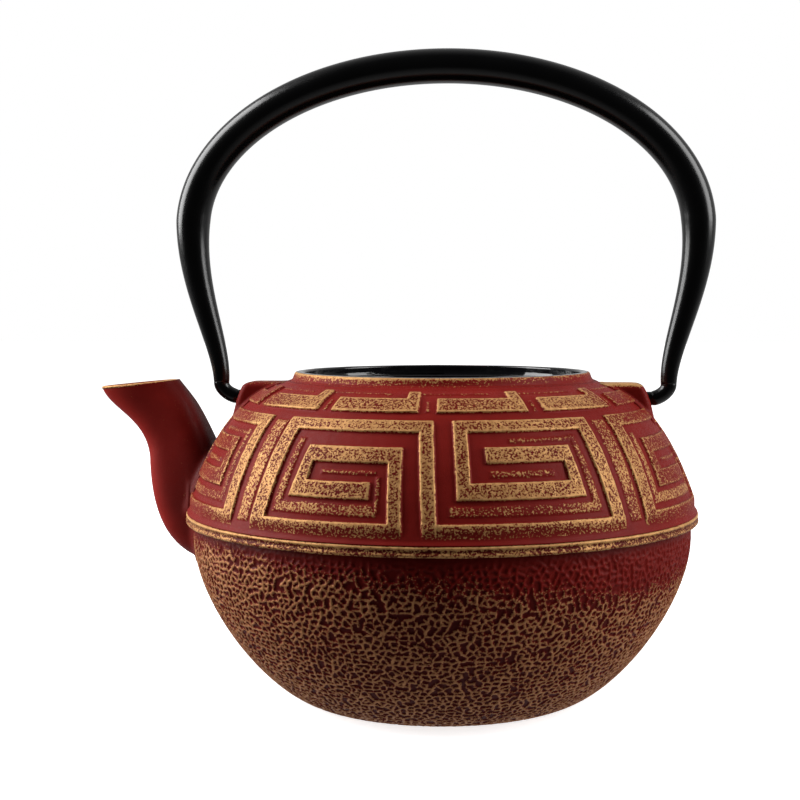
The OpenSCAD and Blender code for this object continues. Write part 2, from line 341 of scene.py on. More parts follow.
def inset(side, depth):
    """An outline moved inwards, for the inner wall."""
    way = np.gradient(side, axis=0)
    way /= np.linalg.norm(way, axis=1)[:, None]
    return side + depth * np.stack([-way[:, 1], way[:, 0]], axis=1)


# %% Sizes that several pieces share
WALL = 3.2 * MM
flange_low, flange_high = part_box("girdle_flange")
FLANGE_R = flange_high.x
FLANGE_Z, SHOULDER_Z = flange_low.z, flange_high.z
COLLAR_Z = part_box("shoulder")[1].z
RIM_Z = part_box("neck_collar")[1].z
shoulder_length = length_of(shoulder_side)
bowl_length = length_of(bowl_side)


def pot_radius(z):
    """Radius of the pot's outside at a height, with no relief."""
    side = np.concatenate([bowl_side, shoulder_side])
    return np.interp(z, side[:, 1], side[:, 0])


# %% [markdown]
# ## The raised Greek key on the shoulder
#
# The pattern is cast with the pot: flat bars stand about 0.75 mm above the ground between
# them, with drafted edges so that the casting leaves the sand. It repeats four times round
# the pot, and a band of twelve brackets runs above it. A bar is written as its upper and lower
# edge in millimetres down from the collar, and its left and right side in degrees from the
# unit's middle, each at the bar's top and at its bottom, because the sides lean.
#
# The distance from a point to the nearest bar's edge gives the height by a smooth step. The
# same distance says where the gold lies: it is wiped on, so it is whole along the edges and
# specks in the middle of a bar.

# %% The bars of one unit
KEY_TURN = 3.65
UNIT, BRACKET = 90, 30
KEY_BARS = [  # top, bottom, left at top, left at bottom, right at top, right at bottom
    (16.9, 21.1, -41.1, -41.3, -0.8, -0.6),
    (16.9, 51.5, -41.1, -41.8, -36.3, -37.8),
    (47.4, 51.5, -41.6, -41.8, -6.7, -6.6),
    (25.8, 51.5, -10.9, -9.5, -7.7, -6.6),
    (25.8, 30.8, -31.1, -31.6, -7.7, -7.6),
    (25.8, 41.2, -31.1, -32.8, -28.4, -28.9),
    (36.2, 41.2, -32.3, -32.8, -14.0, -14.0),
    (16.9, 51.5, -4.5, -2.6, -0.8, 0.4),
    (47.4, 51.5, 0.2, 0.4, 41.9, 41.9),
    (16.9, 51.5, 36.6, 38.4, 41.0, 41.9),
    (16.9, 21.1, 3.8, 3.9, 41.0, 41.1),
    (16.9, 41.2, 3.8, 4.2, 7.3, 7.4),
    (36.2, 41.2, 4.2, 4.2, 32.6, 33.0),
    (25.8, 41.2, 29.1, 29.7, 31.9, 33.0),
    (25.8, 30.8, 10.9, 10.9, 31.9, 32.2),
]
LOW_STEPS = [  # faint steps in the ground between the bars
    (23.0, 24.5, 17.0, 17.0, 34.5, 34.5),
    (22.5, 44.5, 33.1, 34.3, 34.9, 36.4),
    (42.6, 45.6, 2.6, 2.6, 35.5, 36.2),
    (32.8, 34.8, 11.5, 11.5, 26.5, 26.5),
    (23.5, 43.5, -34.9, -36.5, -33.0, -34.2),
    (42.4, 45.8, -36.0, -36.4, -13.0, -12.0),
    (32.9, 34.2, -26.0, -26.0, -13.0, -13.0),
    (34.5, 45.0, -12.9, -12.7, -11.9, -11.5),
    (18.0, 49.5, 43.0, 43.7, 48.0, 47.2),
    (18.0, 49.5, -47.0, -46.3, -42.0, -42.8),
]
BAND_BARS = [(7.8, 13.9, 0.0, 0.0, 25.1, 25.1), (4.0, 13.9, 21.1, 21.1, 25.1, 25.1)]
BAND_STEPS = [(4.1, 5.1, -4.4, -4.4, 16.0, 16.0), (4.1, 5.1, 25.6, 25.6, 46.0, 46.0),
              (8.6, 13.6, 27.0, 27.0, 28.2, 28.2)]


def nearest_edge(bars, down, angle, per_degree):
    """Distance to the bars' outline in mm, below zero inside a bar."""
    best = np.full(np.broadcast(down, angle).shape, 99.0)
    for top, bottom, left0, left1, right0, right1 in bars:
        t = np.clip((down - top) / (bottom - top), 0, 1)
        left, right = left0 + (left1 - left0) * t, right0 + (right1 - right0) * t
        across = np.abs(angle - (left + right) / 2) * per_degree - (right - left) / 2 * per_degree
        along_side = np.abs(down - (top + bottom) / 2) - (bottom - top) / 2
        best = np.minimum(best, np.maximum(across, along_side))
    return best


# %% Where the rows of the skin lie
# Rows are close together where a bar's edge runs along them, and wider apart elsewhere.
row_edges = sorted({e for bar in KEY_BARS + BAND_BARS + LOW_STEPS + BAND_STEPS for e in bar[:2]})
even_rows = np.arange(0, shoulder_length / MM, 0.5)
edge_rows = np.concatenate([np.array(row_edges) + d for d in (-0.3, -0.1, 0.1, 0.3)])
down_rows = np.unique(np.round(np.concatenate([even_rows, edge_rows]), 2))
down_rows = down_rows[(down_rows >= 0) & (down_rows < shoulder_length / MM - 0.05)]
gaps = np.diff(down_rows, prepend=-1) > 0.09
down_rows = np.append(down_rows[gaps], shoulder_length / MM)
print("shoulder rows:", len(down_rows))

# %% The shoulder's skin
KEY_COLUMNS = 1536
shoulder_rows = spaced(shoulder_side, np.clip(shoulder_length - down_rows * MM, 0, shoulder_length))
turn_deg = 360 * np.arange(KEY_COLUMNS) / KEY_COLUMNS
in_unit = (turn_deg - KEY_TURN + UNIT / 2) % UNIT - UNIT / 2
in_bracket = (turn_deg - KEY_TURN + BRACKET + 0.15) % BRACKET
in_bracket = np.where(in_bracket > BRACKET - 1, in_bracket - BRACKET, in_bracket)
down = down_rows[:, None]
mm_per_degree = (shoulder_rows[:, :1] / MM) * math.pi / 180
shoulder_points = turned(shoulder_rows, KEY_COLUMNS)


def soft_noise(points, size, seed=0.0):
    """Smooth noise from -1 to 1 at points, whose lumps are about size across."""
    found = [noise.noise(spot) for spot in points.reshape(-1, 3) / size + seed]
    return np.array(found).reshape(points.shape[:-1])


wander = 0.06 * soft_noise(shoulder_points, 1.6 * MM)
wander += 0.10 * soft_noise(shoulder_points, 6 * MM, seed=7.3)
key = nearest_edge(KEY_BARS, down, in_unit[None, :], mm_per_degree)
bracket = nearest_edge(BAND_BARS, down, in_bracket[None, :], mm_per_degree)
bar_edge = np.minimum(key, bracket) + wander
steps = np.minimum(nearest_edge(LOW_STEPS, down, in_unit[None, :], mm_per_degree),
                   nearest_edge(BAND_STEPS, down, in_bracket[None, :], mm_per_degree)) + wander
tail = 1 - smooth_step(down, 48.4, 51.8)
BAR_RISE, STEP_RISE, GROUND_SUNK, END_SUNK = 0.75, 0.30, 0.42, 0.08
bar_top = (1 - smooth_step(bar_edge, -0.30, 0.22)) * tail
step_top = (1 - smooth_step(steps, -0.6, 0.3)) * (1 - bar_top)
ground = smooth_step(down, 0.4, 2.2) * (1 - smooth_step(down, shoulder_length / MM - 1.2,
                                                        shoulder_length / MM - 0.3))
worn = soft_noise(shoulder_points, 14 * MM, seed=3.1)
shoulder_push = MM * (BAR_RISE * bar_top + STEP_RISE * step_top
                      - GROUND_SUNK * ground - END_SUNK * (1 - ground)
                      + 0.035 * soft_noise(shoulder_points, 2.2 * MM, seed=1.7))
print("relief of the key, mm:", round(float(np.ptp(shoulder_push)) / MM, 2))

# %% [markdown]
# Gold lies thickest where the cloth pressed: on the edges of the bars. It thins out towards
# both ears, and at the lowest bar it is rubbed to shreds. A second number, the tone, darkens
# the red between the specks.

# %% Gold on the shoulder
from_front = (turn_deg + 180) % 360 - 180
side_fade = 1 - 0.48 * smooth_step(from_front, 46, 72) * (1 - smooth_step(from_front, 120, 160))
side_fade *= 1 - 0.45 * smooth_step(-from_front, 46, 62) * (1 - smooth_step(-from_front, 120, 160))
rim_of_bar = smooth_step(bar_edge, -0.95, -0.35)
on_bar = smooth_step(-bar_edge, -0.15, 0.25)
middle = np.where(key < bracket, 0.58, 0.57)
EDGE_GOLD = 0.98
gold = on_bar * (middle + (EDGE_GOLD - middle) * rim_of_bar + 0.16 * worn) * side_fade[None, :]
ragged = smooth_step(down, 48.2, 52.5)
gold *= 1 - 0.75 * ragged
step_share = np.interp(in_unit, [-38, -30, -3, 3, 36, 43], [0.50, 0.55, 0.55, 0.43, 0.43, 0.50])
gold = np.maximum(gold, step_top * (step_share[None, :] + 0.20 * worn))
print("gold on the shoulder, mean share:", round(float(gold.mean()), 2))
tone_and_painted_shade = 1.0 - 0.34 * on_bar * (1 - ragged) * side_fade[None, :] ** 3 - 0.08 * step_top
inner_side = inset(shoulder_side, WALL)
inner_side = inner_side[(inner_side[:, 1] > SHOULDER_Z) & (inner_side[:, 1] < COLLAR_Z - 4.0 * MM)]
shoulder_profile = np.concatenate([
    shoulder_rows,
    [[shoulder_side[0][0] - WALL, SHOULDER_Z]], inner_side[::2],
    [[shoulder_side[-1][0] - 0.8 * MM, COLLAR_Z - 3.1 * MM]]])
shoulder_rings = turned(shoulder_profile, KEY_COLUMNS, shoulder_push)
shoulder_mesh = mesh_from_rings("shoulder_with_greek_key", shoulder_rings, len(shoulder_rows))
hidden = np.zeros((len(shoulder_profile) - len(shoulder_rows), KEY_COLUMNS))
store(shoulder_mesh, "gold", np.concatenate([gold, hidden]))
store(shoulder_mesh, "tone_and_painted_shade", np.concatenate([tone_and_painted_shade, hidden + 1]))

# %% [markdown]
# ## The pebbled bowl
#
# Below the flange the casting is covered with a net of low ridges round small dark cells,
# about 2 mm apart, like crackled leather. It is a Voronoi pattern: spots are strewn over the
# surface, each point belongs to its nearest spot, and the ridges run halfway between two
# spots. Spots placed on the surface itself keep the cells the same size everywhere, where a
# pattern wrapped round the pot would squeeze them towards the base. A few ridges are left out,
# and a small wander of each point makes them crooked, as in sand.

# %% Spots for the cells
BOWL_COLUMNS = 1408
CELL_WIDE, CELL_HIGH = 2.25, 1.75
bowl_step = 0.36
side_rows = np.linspace(0, bowl_length, int(bowl_length / MM / bowl_step))
bowl_rows = spaced(bowl_side, side_rows)
down_bowl = (bowl_length - side_rows) / MM
# Both kinds of chance get a seed. Without one, noise_vector starts from the clock.
SEED = 20
chance = np.random.default_rng(SEED)
noise.seed_set(SEED)
spots = []
for level in np.arange(-1.0, bowl_length / MM + 2.5, CELL_HIGH):
    radius, height = spaced(bowl_side, np.clip([bowl_length - level * MM], 0, bowl_length))[0]
    count = int(2 * math.pi * radius / MM / CELL_WIDE)
    shift = chance.random()
    for k in range(count):
        angle = 2 * math.pi * (k + shift + 0.75 * (chance.random() - 0.5)) / count
        off = np.clip(bowl_length - (level + 1.3 * (chance.random() - 0.5)) * MM, 0, bowl_length)
        radius_here, height_here = spaced(bowl_side, np.array([off]))[0]
        spots.append((radius_here * math.sin(angle), -radius_here * math.cos(angle), height_here))
print("cells on the bowl:", len(spots))

# %% Distance of every point of the skin to the nearest ridge
flat_rings = turned(bowl_rows, BOWL_COLUMNS)
tree_of_spots = kdtree.KDTree(len(spots))
for number, spot in enumerate(spots):
    tree_of_spots.insert(spot, number)
tree_of_spots.balance()
WANDER = 0.40 * MM
BROKEN_SHARE = 0.15
skin = flat_rings.reshape(-1, 3)
crooked = np.array([noise.noise_vector(p) for p in skin / (1.8 * MM)]) * WANDER + skin
near = np.array([[hit[1] for hit in tree_of_spots.find_n(p, 4)] for p in crooked])
spots = np.array(spots)
own = spots[near[:, 0]]
FAR = 9.0
ridge_edge = np.full(len(skin), FAR)
for k in (1, 2, 3):
    other = spots[near[:, k]]
    between = other - own
    apart = np.linalg.norm(between, axis=1)
    gap = np.einsum("ij,ij->i", between, (own + other) / 2 - crooked) / apart / MM
    # A large sine of the pair's numbers is a draw that both sides of a ridge agree on.
    draw = np.sin((near[:, 0] + near[:, k]) * 12.99 + np.abs(near[:, 0] - near[:, k]) * 7.31) * 4375.85
    broken = (draw - np.floor(draw)) < BROKEN_SHARE
    ridge_edge = np.minimum(ridge_edge, np.where(broken, FAR, gap))
ridge_edge = ridge_edge.reshape(flat_rings.shape[:-1])
print("points nearer than 0.3 mm to a ridge:", round(float((ridge_edge < 0.3).mean()) * 100), "%")

# %% The bowl's skin
patchy = soft_noise(flat_rings, 5 * MM, seed=4.4)
fine = soft_noise(flat_rings, 0.9 * MM, seed=9.1)
half_width = 0.31 + 0.08 * patchy + 0.06 * fine
ridge = 1 - smooth_step(ridge_edge, half_width - 0.16, half_width + 0.26)
lowest = bowl_length / MM
fade = smooth_step(down_bowl, 0.8, 4.0) * (1 - smooth_step(down_bowl, lowest - 3, lowest - 0.5))
ridge = ridge * (0.25 + 0.75 * fade[:, None])
RIDGE_RISE, CELL_SUNK = 0.40, 0.24
bowl_push = MM * (RIDGE_RISE * ridge - CELL_SUNK * fade[:, None] + 0.03 * fine)
print("relief of the bowl, mm:", round(float(np.ptp(bowl_push)) / MM, 2))
bowl_push[0] = bowl_push[-1] = 0

# %% [markdown]
# The gold on the bowl begins high up on the spout's side of the front and lower towards the
# back ear. Above that line the ridges are only red.

# %% Gold on the bowl
bowl_front = (360 * np.arange(BOWL_COLUMNS) / BOWL_COLUMNS + 180) % 360 - 180
starts_at = np.interp(bowl_front, [-180, -120, -45, -16, 9, 47, 110, 180], [1, 0, -6, -1, 2, 8, 5, 1])
GOLD_WINDOW = 13
begun = smooth_step(down_bowl[:, None] + 2.2 * patchy, starts_at[None, :], starts_at[None, :] + GOLD_WINDOW)
bowl_gold = ridge * (0.06 + begun * (0.82 + 0.15 * patchy))
bowl_tone = 0.95 - 0.50 * (1 - ridge) * (0.25 + 0.75 * begun)
base_rows = [[r * MM, 0.0] for r in (3, 11, 20, 28, 34, 38)]
bowl_inner = inset(bowl_side, WALL)
bowl_inner = bowl_inner[bowl_inner[:, 1] > WALL + 0.3 * MM][::-2]
inside_rows = [[bowl_side[-1][0] - WALL, FLANGE_Z]] + bowl_inner.tolist()
inside_rows += [[bowl_inner[-1][0] - 3 * MM, WALL]] + [[r * MM, WALL] for r in (28, 14, 3)]
bowl_profile = np.array(base_rows + bowl_rows.tolist() + inside_rows)
BOWL_FINE = len(base_rows) + len(bowl_rows)
smooth_base = np.zeros((len(base_rows), BOWL_COLUMNS))
bowl_rings = turned(bowl_profile, BOWL_COLUMNS, np.concatenate([smooth_base, bowl_push]))
bowl_rings[..., 2] = np.maximum(bowl_rings[..., 2], 0)
bowl_mesh = mesh_from_rings("pebbled_bowl", bowl_rings, BOWL_FINE, loop=False)
hidden = np.zeros((len(inside_rows), BOWL_COLUMNS))
store(bowl_mesh, "gold", np.concatenate([smooth_base, bowl_gold, hidden]))
store(bowl_mesh, "tone_and_painted_shade", np.concatenate([smooth_base + 0.5, bowl_tone, hidden + 1]))

# %% [markdown]
# ## The girdle flange and the collar
#
# The flange hides the line where the two halves of the mould met. It has a bead along each
# edge with a shallow groove between. The gold is thick on the upper bead and thin on the
# lower. The collar is a plain ring that leans in to the mouth.

# %% The flange
BAND_COLUMNS = 720
lip = FLANGE_R / MM
low, high = FLANGE_Z / MM, SHOULDER_Z / MM
beads = [(lip - 6.0, low), (lip - 1.6, low), (lip - 0.85, low + 0.05), (lip - 0.35, low + 0.25),
         (lip - 0.08, low + 0.6), (lip - 0.05, low + 1.0), (lip - 0.28, low + 1.35),
         (lip - 0.48, low + 1.6), (lip - 0.50, low + 1.9), (lip - 0.42, low + 2.15),
         (lip - 0.22, low + 2.4), (lip - 0.15, low + 2.7), (lip - 0.28, high - 0.28),
         (lip - 0.60, high - 0.06), (lip - 1.1, high), (lip - 3.6, high)]
BEAD_GOLD = [0, 0.2, 0.4, 0.55, 0.62, 0.58, 0.50, 0.42, 0.40, 0.50, 0.85, 1.0, 1.0, 0.7, 0.3, 0]
# Painted shade: the tone darkens the red most in the groove, less on the lower bead and underneath, and
# least on the upper bead and the flange's top.
BEAD_PAINTED_SHADE = [1, 0.8, 0.6, 0.6, 0.6, 0.6, 0.5, 0.45, 0.45, 0.5, 0.6, 0.7, 0.8, 0.9, 1, 1]
beads = np.array(beads) * MM
bead_at = np.linspace(0, 1, len(beads))
bead_rows = np.linspace(0, 1, 46)
flange_profile = rows_at(bead_rows, bead_at, beads)
flat = turned(flange_profile, BAND_COLUMNS)
cast = 0.07 * soft_noise(flat, 5 * MM, seed=2.2)
cast += 0.035 * soft_noise(flat, 1.4 * MM, seed=5.8)
outer_part = smooth_step(flange_profile[:, 0], FLANGE_R - 4 * MM, FLANGE_R - 1.5 * MM)[:, None]
flange_push = MM * (cast - 0.08) * outer_part
flange_rings = turned(flange_profile, BAND_COLUMNS, flange_push)
flange_mesh = mesh_from_rings("girdle_flange_beads", flange_rings, len(flange_profile) - 1)
band_gold = np.interp(bead_rows, bead_at, BEAD_GOLD)[:, None] + 3.0 * cast
store(flange_mesh, "gold", np.clip(band_gold, 0, 1) * outer_part)
bead_painted_shade = np.interp(bead_rows, bead_at, BEAD_PAINTED_SHADE)[:, None]
store(flange_mesh, "tone_and_painted_shade", np.repeat(bead_painted_shade, BAND_COLUMNS, axis=1))

# %% The collar
rim = RIM_Z / MM
foot_r, mouth_r = shoulder_side[-1][0] / MM, 45.5
RECESS_R, LEDGE_R, BORE_R = 43.3, 42.4, 38.9
collar_points = [(foot_r + 0.1, rim - 3.0), (foot_r - 0.15, rim - 2.6), (foot_r - 0.75, rim - 2.25),
                 (mouth_r + 0.65, rim - 1.7), (mouth_r + 0.42, rim - 1.0), (mouth_r + 0.2, rim - 0.45),
                 (mouth_r - 0.02, rim - 0.2), (mouth_r - 0.25, rim - 0.06), (mouth_r - 0.6, rim - 0.05),
                 (mouth_r - 2.2, rim - 0.05), (RECESS_R, rim - 2.7), (LEDGE_R, rim - 3.6),
                 (BORE_R, rim - 3.6), (BORE_R, rim - 6.6), (46.3, rim - 6.6), (46.4, rim - 5.7)]
COLLAR_GOLD = [0.1, 0.12, 0.2, 0.3, 0.42, 0.75, 1.0, 1.0, 0.9, 0, 0, 0, 0, 0, 0, 0]
at = np.arange(len(collar_points))
fine_at = np.unique(np.concatenate([np.linspace(0, 8, 41), at[9:]]))
collar_points = np.array(collar_points) * MM
collar_profile = rows_at(fine_at, at, collar_points)
flat = turned(collar_profile, BAND_COLUMNS)
cast = 0.05 * soft_noise(flat, 4 * MM, seed=6.1)
cast *= (fine_at < 7)[:, None]
collar_rings = turned(collar_profile, BAND_COLUMNS, MM * cast)
collar_mesh = mesh_from_rings("neck_collar_ring", collar_rings, 40)
band_front = (360 * np.arange(BAND_COLUMNS) / BAND_COLUMNS + 180) % 360 - 180
left_more = np.interp(band_front, [-180, -70, -20, 30, 90, 180], [0.7, 1.0, 1.15, 0.6, 0.45, 0.7])
collar_gold = np.interp(fine_at, at, COLLAR_GOLD)[:, None] * left_more[None, :]
store(collar_mesh, "gold", np.clip(collar_gold + 2.5 * cast, 0, 1))
store(collar_mesh, "tone_and_painted_shade", np.ones(cast.shape))

# %% [markdown]
# ## The enamel inside
#
# Vitreous enamel is glass fused onto the iron at about 800 degrees. It covers the inside, the
# ledge that carries a lid, and the flat of the rim, and it rounds every corner it runs over.
# It flows a little as it melts, so its surface is glossy but not flat.

# %% The enamel's two sides
ENAMEL = 0.4
under = [(mouth_r - 0.5, rim - 0.1), (RECESS_R, rim - 0.1), (RECESS_R, rim - 2.7), (LEDGE_R, rim - 3.6),
         (BORE_R, rim - 3.6), (BORE_R, rim - 6.6)]
over = [(38.6, rim - 7.0), (38.5, rim - 6.7), (38.5, rim - 3.4), (38.7, rim - 3.24), (42.3, rim - 3.2),
        (42.75, rim - 3.0), (42.9, rim - 2.6), (42.9, rim - 0.5), (43.1, rim - 0.12),
        (43.5, rim + 0.04), (44.6, rim + 0.04), (mouth_r - 0.5, rim - 0.02)]


def cavity_side(depth):
    """The inside of the pot at a depth under its outside, from the ledge down to the floor."""
    dome = inset(shoulder_side, depth)[::-1]
    dome = dome[(dome[:, 1] < RIM_Z - 7.1 * MM) & (dome[:, 1] > SHOULDER_Z) & (dome[:, 0] > 39 * MM)]
    cup = inset(bowl_side, depth)[::-1]
    cup = cup[(cup[:, 1] > depth + 0.3 * MM) & (cup[:, 1] < FLANGE_Z)]
    floor = [(cup[-1][0] - 3 * MM, depth)] + [(r * MM, depth) for r in (30, 20, 10, 3)]
    return np.concatenate([dome, cup, floor])


iron_side = np.concatenate([np.array(under) * MM, cavity_side(WALL)])
glass_side = np.concatenate([np.array(over[::-1]) * MM, cavity_side(WALL + ENAMEL * MM)])
enamel_profile = np.concatenate([glass_side[::-1], iron_side])
at = np.concatenate([[0], np.cumsum(np.linalg.norm(np.diff(enamel_profile, axis=0), axis=1))])
dense = np.unique(np.concatenate([at, np.arange(0, at[len(glass_side) - 1], 1.2 * MM)]))
enamel_profile = rows_at(dense, at, enamel_profile)
glass_rows = int((dense <= at[len(glass_side) - 1]).sum())
flat = turned(enamel_profile[:glass_rows], BAND_COLUMNS)
flow = 0.06 * soft_noise(flat, 9 * MM, seed=8.5)
enamel_rings = turned(enamel_profile, BAND_COLUMNS, MM * flow)
enamel_mesh = mesh_from_rings("enamel_lining_glass", enamel_rings, glass_rows, loop=False)
print("enamel rows:", len(enamel_profile))

# %% [markdown]
# ## The spout
#
# The spout is cast on. Seen from the side it leaves the girdle, swells, and bends up to a long
# open lip. Its section changes from an oval at the lip to a block with rounded corners at the
# root, so a soft crease runs down between its front and its side. It is made as rings along
# its length. Each line along the spout is then followed until it dives under the pot's
# skin, and a fillet opens it out there, as the moulder's fillet does.


# %% The spout's edges
def bezier(a, b, c, d, t):
    """Points along a cubic curve that leaves a towards b and reaches d from c."""
    t = np.asarray(t, float)[:, None]
    a, b, c, d = (np.asarray(p, float) for p in (a, b, c, d))
    return (1 - t)**3 * a + 3 * (1 - t)**2 * t * b + 3 * (1 - t) * t**2 * c + t**3 * d


spout_low, spout_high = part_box("spout")
tip = np.array([-spout_low.x / MM, spout_high.z / MM - 2.4])
lip_back = np.array([tip[0] - 24.4, spout_high.z / MM])
throat = np.array([lip + 13, high + 14.6])
heel = np.array([lip - 4.5, low - 13.5])
back_end = np.array([lip - 11.5, high + 6.5])
ways = np.linspace(0, 1, 241)
front_edge = np.concatenate([
    bezier(tip, tip + [-2.4, -7.8], throat + [0.8, 13], throat, np.linspace(0, 1, 121)),
    bezier(throat, throat + [-0.3, -10], heel + [15.5, 4.1], heel, np.linspace(0, 1, 121))[1:]])
back_edge = bezier(lip_back, lip_back + [-4.2, -4.8], back_end + [5, 17.5], back_end, ways)
# A little more length takes both edges well under the pot's skin.
more = np.arange(1, 21)[:, None] * 0.25
last_way = [edge[-1] - edge[-2] for edge in (front_edge, back_edge)]
last_way = [way / np.linalg.norm(way) for way in last_way]
front_edge = np.concatenate([front_edge, front_edge[-1] + more * last_way[0]])
back_edge = np.concatenate([back_edge, back_edge[-1] + more * last_way[1]])
ways = np.concatenate([ways, np.ones(20)])

# %% Rings along the spout
SPOUT_SIDES, SPOUT_ROWS = 96, 84
LIP_HALF, ROOT_HALF = 7.4, 13.5
spin = 2 * np.pi * np.arange(SPOUT_SIDES) / SPOUT_SIDES


def spout_rings(front_in, back_in, side_in):
    """Rings between the two edges, in mm, drawn in by the walls. Values are given for each ring."""
    span = np.linalg.norm(front_edge - back_edge, axis=1)
    way = (front_edge - back_edge) / span[:, None]
    middle = back_edge + way * ((span - front_in + back_in) / 2)[:, None]
    half = (span - front_in - back_in) / 2
    wide = LIP_HALF + (ROOT_HALF - LIP_HALF) * ways**2 - side_in
    square = (0.88 - 0.24 * smooth_step(ways, 0.08, 0.40))[:, None]
    u = np.sign(np.cos(spin)) * np.abs(np.cos(spin)) ** square
    v = np.sign(np.sin(spin)) * np.abs(np.sin(spin)) ** (square - 0.04)
    x = middle[:, :1] + way[:, :1] * half[:, None] * u
    z = middle[:, 1:] + way[:, 1:] * half[:, None] * u
    y = wide[:, None] * v * (1 - 0.08 * u)
    return np.stack([-x, y, z], axis=-1)


def under_skin(rings, depth, fillet):
    """Opens the rings out towards the pot, and ends each line at a depth under its skin."""
    centre = rings.mean(axis=1, keepdims=True)
    out = rings - centre
    out /= np.linalg.norm(out, axis=2, keepdims=True)
    above = np.hypot(rings[..., 0], rings[..., 1]) - pot_radius(rings[..., 2] * MM) / MM
    if fillet:
        short = fillet - np.clip(above, 0, fillet)
        rings = rings + out * (fillet - np.sqrt(fillet**2 - short**2))[..., None]
        above = np.hypot(rings[..., 0], rings[..., 1]) - pot_radius(rings[..., 2] * MM) / MM
    rows = np.arange(len(rings), dtype=float)
    lines = []
    for side in range(SPOUT_SIDES):
        end = int(np.argmax(above[:, side] < -depth))
        a, b = above[end - 1, side], above[end, side]
        stop = end - 1 + (a + depth) / (a - b)
        lines.append(rows_at(np.linspace(0, 1, SPOUT_ROWS) * stop, rows, rings[:, side]))
    return np.stack(lines, axis=1)


# %% The spout's mesh
SPOUT_WALL = 2.6
thin = np.minimum(1, ways * 4)
front_wall = SPOUT_WALL * (0.45 + 0.55 * thin)
back_wall = np.maximum(SPOUT_WALL, 5.5 - ways * 9.6)
side_wall = SPOUT_WALL * (0.75 + 0.25 * thin)
outside = under_skin(spout_rings(0, 0, 0), 1.7, 2.6)
channel = under_skin(spout_rings(front_wall, back_wall, side_wall), 1.0, 0)
lip_rows = []
for across in (0.04, 0.14, 0.3, 0.5, 0.7, 0.86, 0.96):
    ring = outside[0] * (1 - across) + channel[0] * across
    ring[:, 2] -= 0.45 * abs(2 * across - 1) ** 4
    lip_rows.append(ring)
outside[0, :, 2] -= 0.75
channel[0, :, 2] -= 0.75
spout_points = np.concatenate([outside[::-1], np.array(lip_rows), channel]) * MM
spout_mesh = mesh_from_rings("side_spout", spout_points, len(outside) + len(lip_rows))
LIP_AT = len(outside)
wear = soft_noise(spout_points, 6 * MM, seed=2.9)
lip_gold = np.zeros(wear.shape)
for row, share in [(-3, 0.12), (-2, 0.35), (-1, 0.7), (0, 1.0), (1, 1.0), (2, 1.0), (3, 0.9), (4, 0.5)]:
    lip_gold[LIP_AT + row] = share
lip_gold = np.maximum(lip_gold, 0.05 * wear)
lip_gold[LIP_AT + 6:] = 0
store(spout_mesh, "gold", lip_gold)
x, y, z = (spout_points[..., k] for k in range(3))
from_pot = np.hypot(x, y) - pot_radius(z)
# Painted light and shade, kept with the tone: the red darkens close to the pot and over the spout's back
# half, where shade falls, and lightens along its outer front strip as a painted highlight.
painted_light_and_shade = 0.58 + 0.40 * smooth_step(from_pot / MM, 1, 14)
painted_light_and_shade *= 1 - 0.35 * smooth_step(-np.cos(spin), 0.2, 0.9)
painted_light_and_shade *= 1 + 0.45 * smooth_step(np.cos(spin), 0.1, 0.8)
store(spout_mesh, "tone_and_painted_shade", painted_light_and_shade)

# %% [markdown]
# ## The ears
#
# Each ear is a block on the shoulder that carries one end of the bail. Its outer face leans
# in towards the top, its upright edges are rounded, and it grows out of the shoulder with a
# small fillet. It is made as level slices from the top down, each a rectangle with round
# corners, which end inside the pot's wall. The socket is drilled with a boolean afterwards.

# %% One ear's slices
HINGE_Z = frame["record"]["behaviour"]["joints"][0]["pos_m"][2] / MM
ear_low, ear_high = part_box("back_ear")
EAR_HALF = ear_high.y / MM
EAR_RISE = ear_high.z / MM - HINGE_Z
ear_face = ear_high.x / MM - 4.4
FACE = np.array([(4.8, -2.4), (3.9, -1.6), (1.5, -0.5), (-1.4, 0.55), (-4.6, 1.3), (-7.8, 1.9),
                 (-11, 2.9), (-14, 4.3), (-17, 4.4)])
slice_z = np.concatenate([EAR_RISE - np.array([0, 0.07, 0.28, 0.62, 1.1, 1.7]),
                          np.arange(EAR_RISE - 2.1, -16.5, -0.45)])
slice_in = np.concatenate([[2.0, 1.35, 0.78, 0.34, 0.1, 0], np.zeros(len(slice_z) - 6)])


def ear_slice(z, drawn_in):
    """One level slice of the ear on the back side, as points round its edge."""
    skin = float(pot_radius((HINGE_Z + z) * MM)) / MM
    inner = skin - 2.0
    outer = max(ear_face + np.interp(-z, -FACE[:, 0], FACE[:, 1]) - drawn_in, inner + 0.3)
    half = EAR_HALF - drawn_in
    round_r = min(2.0, (outer - inner) / 2)
    xs = np.linspace(inner, outer - round_r, 18)
    bend = np.linspace(0, np.pi / 2, 9)
    edge = [(x, -half) for x in xs]
    edge += [(outer - round_r + round_r * math.sin(a), -half + round_r * (1 - math.cos(a)))
             for a in bend[1:]]
    edge += [(outer, y) for y in np.linspace(-half + round_r, half - round_r, 9)[1:]]
    edge += [(x, -y) for x, y in reversed(edge[:len(xs) + 7])]
    edge += [(inner, y) for y in np.linspace(half, -half, 7)[1:-1]]
    points = np.array([(x, y, HINGE_Z + z) for x, y in edge])
    above = points[:, 0] - np.sqrt(skin**2 - half**2)
    short = 1.6 - np.clip(above, 0, 1.6)
    points[:, 1] += np.sign(points[:, 1]) * (1.6 - np.sqrt(1.6**2 - short**2)) * (above > -1.5)
    return points


ear_points = np.array([ear_slice(z, drawn) for z, drawn in zip(slice_z, slice_in)]) * MM
print("ear slices:", ear_points.shape)


